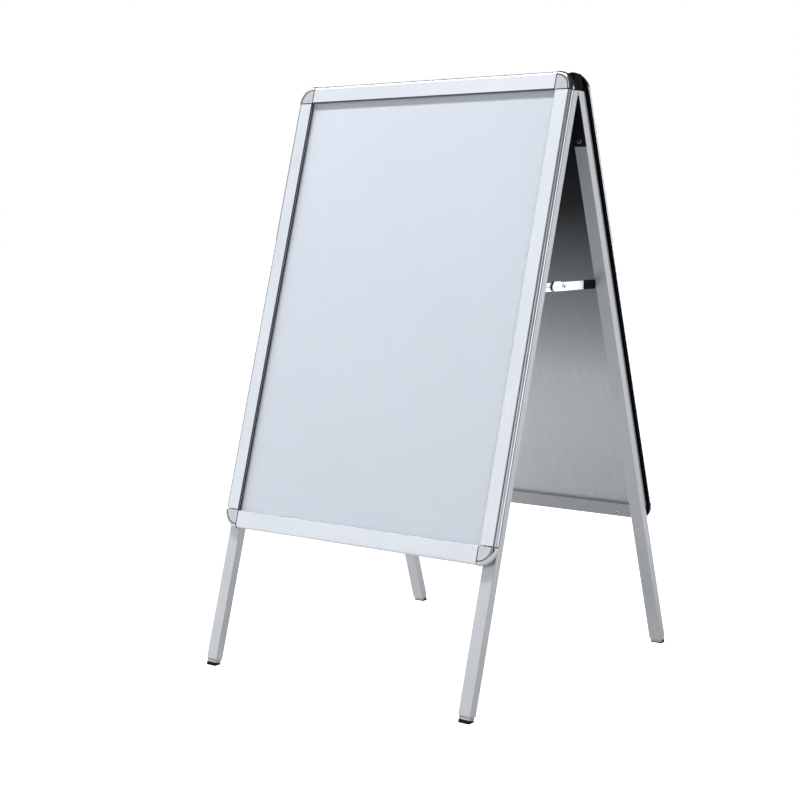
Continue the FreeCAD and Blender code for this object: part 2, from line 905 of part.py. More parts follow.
def make_elbow_half(label, washer, side):
    """Half of the elbow rivet in its own arm's plane: shank, head and an optional washer.

    X = 0 is the middle of the arm, and side is the direction of the head.
    """
    body = new_body(label)
    half = D.arm_thickness / 2
    discs = [
        ("shank", -half, half, D.stay_rivet_radius),
        ("head", half, half + D.stay_head_thickness, D.stay_rivet_head),
    ]
    if washer:
        discs.append(("washer", -half - D.elbow_washer, -half, D.elbow_washer_radius))
    for word, low, high, radius in discs:
        disc = new_sketch(body, "YZ_Plane", word + "_" + label, (low + high) / 2 * side)
        add_circle(disc, ZERO, ZERO, radius)
        extrude(body, "Pad", disc, high - low)
    return body


# ---------------------------------------------------------------- screws and rivets

def make_strap_screw():
    """Countersunk screw; Y = 0 is the leg's inner face and the screw points along -Y."""
    body = new_body("strap_screw_master")
    section = new_sketch(body, "XY_Plane", "strap_screw_section")
    head_top = D.strap_thickness + D.screw_proud
    add_outline(
        section,
        [
            corner(ZERO, -D.screw_length),
            corner(D.screw_radius, -D.screw_length),
            corner(D.screw_radius, ZERO),
            corner(D.screw_head_radius, ZERO),
            corner(D.screw_head_radius, D.strap_thickness),
            corner(D.screw_head_radius - 1.0, head_top),
            corner(ZERO, head_top),
        ],
    )
    revolve(body, section)
    return body


def make_frame_rivet(label, grip):
    """Blind rivet along Y: set end before Y = -grip, the end of its grip, and head past Y = 0."""
    body = new_body(label)
    section = new_sketch(body, "XY_Plane", "section_" + label)
    add_outline(
        section,
        [
            corner(ZERO, -(grip + D.frame_rivet_cap)),
            corner(D.frame_rivet_bulge - 0.8, -(grip + D.frame_rivet_cap)),
            corner(D.frame_rivet_bulge, -grip),
            corner(D.frame_rivet_radius, -grip),
            corner(D.frame_rivet_radius, ZERO),
            corner(D.frame_rivet_head, ZERO),
            corner(D.frame_rivet_head - 0.8, D.frame_rivet_cap),
            corner(ZERO, D.frame_rivet_cap),
        ],
    )
    revolve(body, section)
    return body


# ---------------------------------------------------------------- boards

MASTERS = types.SimpleNamespace(
    plug=make_foot_plug(),
    pad=make_foot_pad(),
    spring=make_spring(),
    screw=make_strap_screw(),
    leg_rivet=make_frame_rivet("leg_rivet_master", D.base_wall + D.leg_wall),
    corner_rivet=make_frame_rivet("corner_rivet_master", D.base_wall),
)
parts = []


def frame_sides():
    """(name, turn about Y, distance of the visible edge from the frame's middle, length)."""
    half_width = D.visible_width / 2
    half_height = D.visible_height / 2
    return [
        ("right", 0.0, half_width, D.visible_height),
        ("bottom", 90.0, half_height, D.visible_width),
        ("left", 180.0, half_width, D.visible_height),
        ("top", -90.0, half_height, D.visible_width),
    ]


def side_place(turn, reach):
    """Placement of a section frame on one side of the visible opening."""
    rotation = Rotation(Vector(0, 1, 0), turn)
    middle = Vector(0, -FRAME_PLANE.number, VISIBLE_MID_Z.number)
    return Placement(middle, rotation) * shift(x=reach)


def world_name(word, turned):
    """Left and right are those of the front view for both boards."""
    if turned and word in ("left", "right"):
        return "right" if word == "left" else "left"
    return word


def place_part(body, place):
    body.Placement = place
    parts.append(body)


def build_frame(name, place, turned):
    """Base profiles, snap rails, springs and corner caps round the visible opening."""
    springs = []
    for word, turn, reach, length in frame_sides():
        local = side_place(turn, reach)
        upright = word in ("left", "right")
        label = "%s_base_%s" % (name, world_name(word, turned))
        rivets = frame_rivet_heights() if upright else []
        if word == "left":
            rivets = [-height for height in rivets]
        back = []
        if word == "bottom":
            rise = D.rail_width - D.corner_rivet_rise
            back = [(rise, D.corner_rivet_x), (rise, -D.corner_rivet_x)]
        base_length = length - D.base_end_gap * 2
        place_part(make_base(label, base_length, rivets, back), place * local)
        rail_label = "%s_rail_%s" % (name, world_name(word, turned))
        place_part(make_rail(rail_label, length), place * local)
        count = 4 if upright else 3
        for number in range(count):
            along = length * ((number + 0.5) / count - 0.5)
            springs.append((MASTERS.spring, place * local * shift(z=along)))
    parts.append(group(name + "_rail_springs", springs))

    half_width = D.visible_width / 2
    half_height = D.visible_height / 2
    for across in ("right", "left"):
        for level in ("top", "bottom"):
            label = "%s_cap_%s_%s" % (name, level, world_name(across, turned))
            x = half_width if across == "right" else -half_width
            z = VISIBLE_MID_Z + (half_height if level == "top" else -half_height)
            turn = {
                ("right", "bottom"): 0.0,
                ("left", "bottom"): 90.0,
                ("left", "top"): 180.0,
                ("right", "top"): -90.0,
            }[across, level]
            local = shift(x, -FRAME_PLANE, z, Rotation(Vector(0, 1, 0), turn))
            place_part(make_cap(label), place * local)


def build_sheets(name, place):
    """Backing panel on the ledge of the base profiles, and the clear cover over the poster's place."""
    overlap = D.panel_overlap * 2
    panel = make_sheet(
        name + "_backing_panel",
        D.visible_width + overlap,
        D.visible_height + overlap,
        D.panel_thickness,
    )
    place_part(panel, place * shift(ZERO, -(FRAME_PLANE + D.ledge_height), VISIBLE_MID_Z))
    cover = make_sheet(
        name + "_cover_sheet", D.poster_width, D.poster_height, D.cover_thickness
    )
    cover_height = D.ledge_height + D.panel_thickness + D.poster_space
    place_part(cover, place * shift(ZERO, -(FRAME_PLANE + cover_height), VISIBLE_MID_Z))


def build_legs(name, place, turned, pivot_rivets):
    """Legs with their feet, top blocks, hinge straps, screws and rivets."""
    plugs = []
    pads = []
    fixings = list(pivot_rivets)
    leg_middle = -(D.leg_gap + D.leg_depth / 2)
    for word, side in (("right", 1), ("left", -1)):
        world = world_name(word, turned)
        leg_place = place * shift(LEG_X * side, leg_middle, LEG_TOP_Z)
        place_part(make_leg("%s_leg_%s" % (name, world), side), leg_place)
        foot = leg_place * shift(z=-LEG_LENGTH)
        plugs.append((MASTERS.plug, foot))
        pads.append((MASTERS.pad, foot))
        place_part(make_top_block("%s_top_block_%s" % (name, world), side), place)
        strap_label = "%s_hinge_strap_%s" % (name, world)
        place_part(make_hinge_strap(strap_label, side, knuckle_spans(not turned)), place)
        for x, z in strap_screw_places(side):
            fixings.append((MASTERS.screw, place * shift(x, -D.leg_gap, z)))
        rivet_x = (D.visible_width / 2 + D.frame_rivet_t) * side
        for z in frame_rivet_heights():
            rivet_place = shift(rivet_x, -(FRAME_PLANE - D.leg_wall), VISIBLE_MID_Z + z)
            fixings.append((MASTERS.leg_rivet, place * rivet_place))
        corner_z = VISIBLE_MID_Z - D.visible_height / 2 - D.rail_width + D.corner_rivet_rise
        corner_place = shift(D.corner_rivet_x * side, -FRAME_PLANE, corner_z)
        fixings.append((MASTERS.corner_rivet, place * corner_place))
    parts.append(group(name + "_foot_plugs", plugs))
    parts.append(group(name + "_foot_pads", pads))
    parts.append(group(name + "_fasteners", fixings))


# Height of the hinge axis: the level undersides of the foot pads lie on Z = 0.
pad_edge_n = D.leg_gap.number + D.pad_inset.number
pad_edge_s = D.leg_end_drop.number - D.hinge_drop.number + D.plug_drop.number + D.pad_low.number
HINGE_HEIGHT = pad_edge_s * math.cos(TILT) - pad_edge_n * math.sin(TILT)

lean = Rotation(Vector(1, 0, 0), -D.tilt.number)
FRONT = Placement(Vector(0, 0, HINGE_HEIGHT), lean)
BACK = Placement(Vector(0, 0, HINGE_HEIGHT), Rotation(Vector(0, 0, 1), 180) * lean)

# The stays lie level, with their elbows on the plane Y = 0.
STAY_HEIGHT = HINGE_HEIGHT + STAY_Z.number * math.cos(TILT) + STAY_NORMAL.number * math.sin(TILT)


def pivot_rivets(label, inset, y):
    """The two rivets that hold one board's stay arms, right side first."""
    rivet = make_pivot_rivet(label, inset)
    half_turn = Rotation(Vector(0, 0, 1), 180)
    return [
        (rivet, shift(LEG_INNER_X * side, y, STAY_HEIGHT, Rotation() if side > 0 else half_turn))
        for side in (1, -1)
    ]


def build_stays():
    """Front arm, rear arm, sleeve and both halves of the elbow rivet on each side."""
    for word, side in (("right", 1), ("left", -1)):
        front_x = (LEG_INNER_X - D.front_arm_inset) * side
        rear_x = (LEG_INNER_X - D.rear_arm_inset) * side
        front_pivot = shift(front_x, -ARM_LENGTH, STAY_HEIGHT)
        rear_pivot = shift(rear_x, ARM_LENGTH, STAY_HEIGHT)
        place_part(make_front_arm("stay_front_arm_" + word), front_pivot)
        place_part(make_rear_arm("stay_rear_arm_" + word, side), rear_pivot)
        place_part(make_sleeve("stay_sleeve_" + word), rear_pivot)
        inner_half = make_elbow_half("elbow_rivet_inner_" + word, False, -side)
        place_part(inner_half, shift(front_x, ZERO, STAY_HEIGHT))
        outer_half = make_elbow_half("elbow_rivet_outer_" + word, True, side)
        place_part(outer_half, shift(rear_x, ZERO, STAY_HEIGHT))


for board_name, board_place, is_turned, arm_inset, pivot_y in (
    ("front", FRONT, False, D.front_arm_inset, -ARM_LENGTH),
    ("back", BACK, True, D.rear_arm_inset, ARM_LENGTH),
):
    build_frame(board_name, board_place, is_turned)
    build_sheets(board_name, board_place)
    rivets = pivot_rivets(board_name + "_pivot_rivet_master", arm_inset, pivot_y)
    build_legs(board_name, board_place, is_turned, rivets)
for word, side in (("right", 1), ("left", -1)):
    place_part(make_hinge_pin("hinge_pin_" + word, side), shift(z=HINGE_HEIGHT))
build_stays()

doc.recompute()

for item in doc.Objects:
    if "Invalid" in item.State or "Error" in item.State:
        raise RuntimeError("%s is in state %s" % (item.Label, item.State))
for part in parts:
    if part.Shape.isNull() or not part.Shape.isValid() or not part.Shape.Solids:
        raise RuntimeError("%s has no valid solid" % part.Label)

os.makedirs("parts", exist_ok=True)
for part in parts:
    part.Shape.exportStep("parts/%s.step" % part.Label)
print("wrote %d sub-parts, hinge axis at %.2f mm" % (len(parts), HINGE_HEIGHT))
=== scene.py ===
import json
import math

import bmesh
import bpy
from mathutils import Matrix, Vector

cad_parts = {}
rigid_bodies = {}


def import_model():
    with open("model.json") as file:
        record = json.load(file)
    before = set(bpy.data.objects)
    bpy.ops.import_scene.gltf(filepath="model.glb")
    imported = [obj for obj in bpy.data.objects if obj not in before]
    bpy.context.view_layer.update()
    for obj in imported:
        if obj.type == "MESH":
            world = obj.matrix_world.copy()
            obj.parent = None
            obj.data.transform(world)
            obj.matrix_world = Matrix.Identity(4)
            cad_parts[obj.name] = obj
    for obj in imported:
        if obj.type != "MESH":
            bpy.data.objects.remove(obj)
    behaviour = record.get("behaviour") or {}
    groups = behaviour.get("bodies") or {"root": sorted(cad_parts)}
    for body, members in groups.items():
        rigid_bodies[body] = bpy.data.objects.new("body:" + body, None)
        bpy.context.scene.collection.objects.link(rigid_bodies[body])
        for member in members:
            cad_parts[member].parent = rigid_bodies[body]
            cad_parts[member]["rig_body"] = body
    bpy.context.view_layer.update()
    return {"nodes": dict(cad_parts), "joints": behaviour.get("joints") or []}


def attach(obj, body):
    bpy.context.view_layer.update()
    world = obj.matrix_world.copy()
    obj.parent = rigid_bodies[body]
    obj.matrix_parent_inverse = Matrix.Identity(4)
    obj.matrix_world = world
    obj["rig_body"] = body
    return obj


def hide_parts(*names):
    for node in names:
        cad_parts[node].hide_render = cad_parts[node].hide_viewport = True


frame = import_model()
nodes = frame["nodes"]

# ------------------------------------------------------------------ the boards' own frames

joints = {joint["name"]: joint for joint in frame["joints"]}
HINGE_HEIGHT = joints["board_fold"]["pos_m"][2]


def outward_of(board):
    """Across, outward and up of a board at rest; up is the axis of an upright rail's joint."""
    up = Vector(
        joints["%s_%s_rail_snap" % (board, "right" if board == "front" else "left")]["axis"]
    )
    across = Vector((1.0, 0.0, 0.0)) if board == "front" else Vector((-1.0, 0.0, 0.0))
    return across, across.cross(up).normalized(), up.normalized()


# ------------------------------------------------------------------ lengths and tones

MILLIMETRE = 0.001
WELD_REACH = 0.002 * MILLIMETRE
EDGE = 0.2 * MILLIMETRE
GROOVE_EDGE = 0.1 * MILLIMETRE


def outward_span(node):
    """Lowest and highest points of a front board's node, outward from the hinge axis."""
    outward = outward_of("front")[1]
    level = outward.z * HINGE_HEIGHT
    heights = [vertex.co.dot(outward) - level for vertex in nodes[node].data.vertices]
    return min(heights), max(heights)


FRAME_FOOT = outward_span("front_base_top")[0]
COVER_FACE = outward_span("front_cover_sheet")[1]
RAIL_FACE = outward_span("front_rail_top")[1]

# dark and pale bands of painted shade, as heights outward from the hinge axis; LIP_LINE is a
# band's own height
LIP_FOOT = COVER_FACE + 1.1 * MILLIMETRE
LIP_LINE = 2.2 * MILLIMETRE
LIP_NOSE = RAIL_FACE - 2.1 * MILLIMETRE
UNDER_RAIL = (FRAME_FOOT + MILLIMETRE, RAIL_FACE - 2.9 * MILLIMETRE)
IN_GROOVE = (FRAME_FOOT + MILLIMETRE, FRAME_FOOT + 9.0 * MILLIMETRE)
CAP_FACE = outward_span("front_cap_top_left")[1]
CAP_FOOT = CAP_FACE - 9.3 * MILLIMETRE

# radii of the cap's arc groove, where painted black shade lies
GROOVE_FROM = 26.0 * MILLIMETRE
GROOVE_TO = 27.8 * MILLIMETRE

# heights above the floor over which painted shade darkens the bare zinc toward the top, and the
# share of the zinc's tone kept at the top
TOP_SHADE_FROM = 0.55
TOP_SHADE_TO = 0.88
TOP_SHADE_FACTOR = 0.1

# tones kept on shaded lip faces, as shares of the rail's colour: painted shade between foot and
# nose, darker painted shade along them
LIP_SHADE = 0.35
LIP_DARK = 0.02
# black of painted shade, for grooves, seams, undersides and pit floors
SHADE_BLACK = (0.012, 0.012, 0.014)
PALE = (0.78, 0.825, 0.89)
GALVANISED = (0.64, 0.67, 0.7)
RAIL = (0.87, 0.92, 0.985)
LEG = (0.7, 0.73, 0.77)
BASE = (0.5, 0.52, 0.55)
CAP = (0.64, 0.66, 0.69)
ZINC = (0.93, 0.94, 0.95)
STEEL = (0.85, 0.86, 0.88)
NYLON_BLACK = (0.004, 0.004, 0.005)
SLEEVE_BLACK = (0.01, 0.01, 0.011)
STRAP_BLACK = (0.006, 0.006, 0.008)
CHIPPED_STEEL = (0.5, 0.5, 0.52)
NYLON_PALE = (0.62, 0.62, 0.6)
RUBBER = (0.018, 0.018, 0.019)
FLOOR_TONE = (0.3, 0.3, 0.3)
FLOOR_CLOUD = (0.285, 0.285, 0.285)
# share of the zinc's tone kept on a stay's edge faces, as painted shade
PAINTED_EDGE_SHADE = 0.16
DUST_KEPT = 0.8
DUST_ADDED = 0.0008
POWDER_ADDED = 0.006

# ------------------------------------------------------------------ material building

class Graph:
    """A material's node tree with short calls for adding and joining nodes."""

    def __init__(self, name):
        self.material = bpy.data.materials.new(name)
        self.material.use_nodes = True
        self.tree = self.material.node_tree
        self.tree.nodes.clear()
        self.output = self.tree.nodes.new("ShaderNodeOutputMaterial")
        self.shader = self.tree.nodes.new("ShaderNodeBsdfPrincipled")
        self.join(self.shader.outputs[0], self.output.inputs["Surface"])

    def join(self, source, target):
        self.tree.links.new(source, target)

    def add(self, kind, **values):
        node = self.tree.nodes.new("ShaderNode" + kind)
        for name, value in values.items():
            setattr(node, name, value)
        return node

    def position(self, rotation=(0.0, 0.0, 0.0), scale=(1.0, 1.0, 1.0)):
        """Object coordinates turned and scaled."""
        coordinate = self.add("TexCoord")
        turn = self.add("Mapping", vector_type="POINT")
        turn.inputs["Rotation"].default_value = rotation
        self.join(coordinate.outputs["Object"], turn.inputs["Vector"])
        stretch = self.add("Mapping", vector_type="POINT")
        stretch.inputs["Scale"].default_value = scale
        self.join(turn.outputs[0], stretch.inputs["Vector"])
        return stretch.outputs[0]

    def noise(self, vector, scale, detail=3.0, roughness=0.5, distortion=0.0):
        node = self.add("TexNoise")
        node.inputs["Scale"].default_value = scale
        node.inputs["Detail"].default_value = detail
        node.inputs["Roughness"].default_value = roughness
        node.inputs["Distortion"].default_value = distortion
        self.join(vector, node.inputs["Vector"])
        return node.outputs["Fac"]

    def cells(self, vector, scale, output="Color"):
        node = self.add("TexVoronoi")
        node.inputs["Scale"].default_value = scale
        self.join(vector, node.inputs["Vector"])
        return node.outputs[output]

    def spread(self, value, low, high, to_low=0.0, to_high=1.0):
        """Maps a range of value onto another range, with its ends held."""
        node = self.add("MapRange")
        for name, number in (
            ("From Min", low), ("From Max", high), ("To Min", to_low), ("To Max", to_high)
        ):
            node.inputs[name].default_value = number
        self.join(value, node.inputs["Value"])
        return node.outputs["Result"]

    def maths(self, operation, first, second):
        node = self.add("Math", operation=operation)
        for socket, value in zip(node.inputs, (first, second)):
            if isinstance(value, (int, float)):
                socket.default_value = value
            else:
                self.join(value, socket)
        return node.outputs[0]

    def mix(self, factor, first, second):
        """Colour mix; first and second are sockets or RGB tuples."""
        node = self.add("Mix", data_type="RGBA")
        self.join(factor, node.inputs["Factor"])
        sockets = [s for s in node.inputs if s.type == "RGBA"]
        for socket, value in zip(sockets, (first, second)):
            if isinstance(value, tuple):
                socket.default_value = (*value, 1.0)
            else:
                self.join(value, socket)
        return next(s for s in node.outputs if s.type == "RGBA")

    def bump(self, height, strength, distance):
        node = self.add("Bump")
        node.inputs["Strength"].default_value = strength
        node.inputs["Distance"].default_value = distance
        self.join(height, node.inputs["Height"])
        self.join(node.outputs[0], self.shader.inputs["Normal"])

    def facing(self, direction, low, high):
        """From 0 to 1 as the surface's own normal turns toward a direction."""
        dot = self.add("VectorMath", operation="DOT_PRODUCT")
        self.join(self.add("TexCoord").outputs["Normal"], dot.inputs[0])
        dot.inputs[1].default_value = direction
        return self.spread(dot.outputs["Value"], low, high)

    def height(self, board, low, high):
        """From 0 to 1 between two heights of a board, outward from the hinge axis."""
        outward = outward_of(board)[1]
        dot = self.add("VectorMath", operation="DOT_PRODUCT")
        self.join(self.position(), dot.inputs[0])
        dot.inputs[1].default_value = outward
        level = outward.z * HINGE_HEIGHT
        return self.spread(dot.outputs["Value"], level + low, level + high)

    def set(self, **values):
        for name, value in values.items():
            self.shader.inputs[name.replace("_", " ")].default_value = value


LEAN = math.asin(outward_of("front")[1].z)


def shade(colour, factor):
    return tuple(channel * factor for channel in colour)


def dusty(colour):
    return tuple(channel * DUST_KEPT + DUST_ADDED for channel in colour)


def powdery(colour):
    return tuple(channel + POWDER_ADDED for channel in colour)


def turn_of(board):
    """Rotation about X that stands a board's own up direction along Z."""
    return (LEAN if board == "front" else -LEAN, 0.0, 0.0)


def hairlines(graph, vector, scale, width):
    """Thin wandering scratch lines: the middle contour of a noise."""
    middle = graph.maths("SUBTRACT", graph.noise(vector, scale, 1.0, 0.4, 0.3), 0.5)
    return graph.spread(graph.maths("ABSOLUTE", middle, 0.0), 0.0, width, 1.0, 0.0)


def anodised(name, board, along, colour, roughness, shaded=(), metallic=1.0, hidden=None):
    """Satin anodised extrusion: die lines, soft clouding, handling marks and hair scratches.

    Faces that look along any of the shaded directions carry painted shade for a lip or seam,
    darkest along the lip's foot and nose. Undersides between the two hidden heights carry
    painted black shade.
    """
    graph = Graph(name)
    turn = turn_of(board)
    stretch = (1.0, 60.0, 60.0) if along == "across" else (60.0, 60.0, 1.0)
    lines = graph.noise(graph.position(turn, stretch), 24.0, 4.0, 0.6)
    cloud = graph.noise(graph.position(), 7.0, 4.0, 0.55)
    marks = graph.noise(graph.position(turn), 60.0, 6.0, 0.7, 0.6)
    long_way = (1.0, 6.0, 6.0) if along == "across" else (6.0, 6.0, 1.0)
    scratch = hairlines(graph, graph.position(turn, long_way), 9.0, 0.004)
    tone = graph.mix(graph.spread(cloud, 0.3, 0.7), colour, shade(colour, 0.93))
    tone = graph.mix(graph.spread(lines, 0.35, 0.65, 0.0, 0.5), tone, shade(colour, 0.9))
    tone = graph.mix(graph.spread(marks, 0.64, 0.76, 0.0, 0.1), tone, shade(colour, 0.78))
    # painted shade on lip and seam faces: darkest at the lip's foot and nose, lighter between
    if shaded:
        foot = graph.height(board, LIP_FOOT + LIP_LINE, LIP_FOOT + LIP_LINE + EDGE)
        nose = graph.height(board, LIP_NOSE - EDGE, LIP_NOSE)
        pale = graph.maths("SUBTRACT", foot, nose)
        dark = graph.mix(pale, shade(colour, LIP_DARK), shade(colour, LIP_SHADE))
    for direction in shaded:
        tone = graph.mix(graph.facing(direction, 0.1, 0.5), tone, dark)
    if hidden is not None:
        # painted black shade on inward-facing undersides between the hidden heights
        low, high = hidden
        above = graph.height(board, low, low + EDGE)
        below = graph.height(board, high - EDGE, high)
        underside_shade = graph.maths("SUBTRACT", above, below)
        underside_shade = graph.maths("MULTIPLY", underside_shade, graph.facing(-outward_of(board)[1], 0.3, 0.6))
        tone = graph.mix(underside_shade, tone, SHADE_BLACK)
    graph.join(tone, graph.shader.inputs["Base Color"])
    rough = graph.maths("ADD", graph.spread(lines, 0.3, 0.7, -0.05, 0.05), roughness)
    rough = graph.maths("ADD", rough, graph.spread(marks, 0.5, 0.8, 0.0, 0.05))
    rough = graph.maths("SUBTRACT", rough, graph.maths("MULTIPLY", scratch, 0.1))
    graph.join(rough, graph.shader.inputs["Roughness"])
    graph.set(Metallic=metallic)
    relief = graph.maths("SUBTRACT", lines, graph.maths("MULTIPLY", scratch, 0.5))
    graph.bump(relief, 0.3, 0.03 * MILLIMETRE)
    return graph.material


def plated(name, colour, roughness, blotch, keep=False):
    """Plated metal: mottled tone, finger haze, fine pits and hair scratches."""
    graph = Graph(name)
    cloud = graph.noise(graph.position(), 55.0, 5.0, 0.6)
    haze = graph.noise(graph.position(), 16.0, 4.0, 0.6, 0.5)
    fine = graph.noise(graph.position(), 1400.0, 2.0, 0.6)
    scratch = hairlines(graph, graph.position(), 34.0, 0.006)
    tone = graph.mix(graph.spread(cloud, 0.35, 0.65), colour, shade(colour, 1.0 - blotch))
    graph.join(tone, graph.shader.inputs["Base Color"])
    rough = graph.spread(haze, 0.35, 0.7, roughness - 0.03, roughness + 0.09)
    rough = graph.maths("ADD", rough, graph.maths("MULTIPLY", scratch, 0.12))
    graph.join(rough, graph.shader.inputs["Roughness"])
    graph.set(Metallic=1.0)
    graph.bump(graph.maths("SUBTRACT", fine, scratch), 0.25, 0.02 * MILLIMETRE)
    return (graph.material, graph) if keep else graph.material


def capping(name, board, corner, inward):
    """Polished corner cap: plated metal with painted black shade in the groove, seam faces and
    underside.
    """
    material, graph = plated(name, CAP, 0.09, 0.04, keep=True)
    tone = graph.shader.inputs["Base Color"].links[0].from_socket
    # painted shade: seam faces turned toward the rails are black
    for direction in inward:
        tone = graph.mix(graph.facing(direction, 0.5, 0.8), tone, SHADE_BLACK)
    outward = outward_of(board)[1]
    offset = graph.add("VectorMath", operation="SUBTRACT")
    graph.join(graph.position(), offset.inputs[0])
    offset.inputs[1].default_value = corner
    flat = graph.add("VectorMath", operation="CROSS_PRODUCT")
    graph.join(offset.outputs[0], flat.inputs[0])
    flat.inputs[1].default_value = outward
    radius = graph.add("VectorMath", operation="LENGTH")
    graph.join(flat.outputs[0], radius.inputs[0])
    reach = radius.outputs["Value"]
    inside = graph.spread(reach, GROOVE_FROM - GROOVE_EDGE, GROOVE_FROM)
    outside = graph.spread(reach, GROOVE_TO, GROOVE_TO + GROOVE_EDGE, 1.0, 0.0)
    face = graph.height(board, CAP_FACE - 2.0 * EDGE, CAP_FACE - EDGE)
    band = graph.maths("MULTIPLY", inside, outside)
    groove = graph.maths("MULTIPLY", band, graph.maths("SUBTRACT", 1.0, face))
    radial = graph.add("VectorMath", operation="CROSS_PRODUCT")
    radial.inputs[0].default_value = outward
    graph.join(flat.outputs[0], radial.inputs[1])
    away = graph.add("VectorMath", operation="DOT_PRODUCT")
    graph.join(radial.outputs[0], away.inputs[0])
    graph.join(graph.add("TexCoord").outputs["Normal"], away.inputs[1])
    wall = graph.spread(away.outputs["Value"], -GROOVE_FROM / 2.0, 0.0, 0.25, 1.0)
    groove = graph.maths("MULTIPLY", groove, wall)
    # painted black shade on the groove's walls
    tone = graph.mix(groove, tone, SHADE_BLACK)
    # painted black shade on the rim's underside below CAP_FOOT
    tone = graph.mix(graph.height(board, CAP_FOOT - 2.0 * EDGE, CAP_FOOT), SHADE_BLACK, tone)
    graph.join(tone, graph.shader.inputs["Base Color"])
    return material


def moulded(name, colour, roughness, grain, depth):
    """Moulded plastic or rubber: spark-eroded grain, dusty clouding, rubbed shiny patches."""
    graph = Graph(name)
    cloud = graph.noise(graph.position(), 45.0, 4.0, 0.6)
    rubbed = graph.noise(graph.position(), 120.0, 5.0, 0.7, 0.4)
    pits = graph.cells(graph.position(), grain, output="Distance")
    tone = graph.mix(graph.spread(cloud, 0.4, 0.75), colour, dusty(colour))
    graph.join(tone, graph.shader.inputs["Base Color"])
    rough = graph.spread(rubbed, 0.4, 0.75, roughness, roughness - 0.14)
    graph.join(rough, graph.shader.inputs["Roughness"])
    graph.bump(pits, 0.35, depth)
    graph.set(Specular_IOR_Level=0.03)
    return graph.material


def painted(name, colour, metal, roughness):
    """Powder-coated strap: orange-peel skin with small chips down to the metal."""
    graph = Graph(name)
    peel = graph.noise(graph.position(), 900.0, 2.0, 0.5)
    chips = graph.noise(graph.position(), 210.0, 6.0, 0.75, 0.8)
    bare = graph.spread(chips, 0.70, 0.73)
    dust = graph.noise(graph.position(), 50.0, 3.0, 0.6)
    coat = graph.mix(graph.spread(dust, 0.4, 0.8), colour, powdery(colour))
    graph.join(graph.mix(bare, coat, metal), graph.shader.inputs["Base Color"])
    graph.join(bare, graph.shader.inputs["Metallic"])
    rough = graph.spread(peel, 0.3, 0.7, roughness - 0.06, roughness + 0.06)
    graph.join(rough, graph.shader.inputs["Roughness"])
    relief = graph.maths("SUBTRACT", peel, graph.maths("MULTIPLY", bare, 2.0))
    graph.bump(relief, 0.4, 0.05 * MILLIMETRE)
    graph.set(Specular_IOR_Level=0.25)
    return graph.material


def clear_cover(name, board):
    """Clear satin film: faint waves, wiping streaks and hair scratches."""
    graph = Graph(name)
    cloud = graph.noise(graph.position(), 6.0, 3.0, 0.5)
    streak = graph.noise(graph.position(turn_of(board), (1.0, 1.0, 5.0)), 14.0, 4.0, 0.6)
    scratch = hairlines(graph, graph.position(turn_of(board)), 11.0, 0.002)
    haze = graph.spread(cloud, 0.3, 0.7, 0.26, 0.34)
    rough = graph.maths("ADD", haze, graph.spread(streak, 0.4, 0.7, 0.0, 0.05))
    rough = graph.maths("ADD", rough, graph.maths("MULTIPLY", scratch, 0.1))
    graph.join(rough, graph.shader.inputs["Roughness"])
    wave = graph.noise(graph.position(), 3.0, 2.0, 0.5)
    graph.bump(wave, 0.3, 0.4 * MILLIMETRE)
    graph.set(Base_Color=(0.86, 0.9, 0.97, 1.0), Alpha=0.25)
    return graph.material


def backing(name, board):
    """Backing panel: pale coat toward the poster's side, spangled zinc on the other, with painted
    shade darkening the zinc toward the top.
    """
    graph = Graph(name)
    turn = turn_of(board)
    cloud = graph.noise(graph.position(), 5.0, 3.0, 0.5)
    speck = graph.noise(graph.position(), 700.0, 3.0, 0.6)
    streak = graph.noise(graph.position(turn, (9.0, 9.0, 1.0)), 16.0, 5.0, 0.65)
    spangle = graph.cells(graph.position(), 130.0)
    pale = graph.mix(graph.spread(cloud, 0.3, 0.7), PALE, shade(PALE, 0.97))
    pale = graph.mix(graph.spread(speck, 0.55, 0.8, 0.0, 0.3), pale, shade(PALE, 0.9))
    zinc = graph.mix(graph.spread(streak, 0.35, 0.7), GALVANISED, shade(GALVANISED, 0.94))
    flake = graph.add("SeparateColor")
    graph.join(spangle, flake.inputs[0])
    zinc = graph.mix(
        graph.spread(flake.outputs[0], 0.0, 1.0, 0.0, 0.3), zinc, shade(GALVANISED, 0.84)
    )
    upward = graph.add("SeparateXYZ")
    graph.join(graph.position(), upward.inputs[0])
    # painted shade: the zinc darkens toward the top, between two heights above the floor
    top_shade_mask = graph.spread(upward.outputs["Z"], TOP_SHADE_FROM, TOP_SHADE_TO, 0.0, 1.0)
    zinc = graph.mix(top_shade_mask, zinc, shade(GALVANISED, TOP_SHADE_FACTOR))
    front_side = graph.facing(outward_of(board)[1], 0.4, 0.6)
    graph.join(graph.mix(front_side, zinc, pale), graph.shader.inputs["Base Color"])
    graph.join(graph.spread(front_side, 0.0, 1.0, 0.9, 0.0), graph.shader.inputs["Metallic"])
    rough = graph.spread(front_side, 0.0, 1.0, 0.36, 0.5)
    rough = graph.maths("ADD", rough, graph.spread(streak, 0.3, 0.7, 0.0, 0.03))
    graph.join(rough, graph.shader.inputs["Roughness"])
    graph.bump(speck, 0.2, 0.03 * MILLIMETRE)
    return graph.material


def cap_corner(board, level, word):
    """The inner corner of a cap, which is the centre of its arc groove."""
    across, outward, up = outward_of(board)
    points = [vertex.co for vertex in nodes["%s_cap_%s_%s" % (board, level, word)].data.vertices]
    heights = [point.dot(up) for point in points]
    sides = [point.x for point in points]
    high = min(heights) if level == "top" else max(heights)
    return Vector((min(sides) if word == "right" else max(sides), 0.0, 0.0)) + up * high


def put(node, material):
    mesh = nodes[node].data
    mesh.materials.clear()
    mesh.materials.append(material)


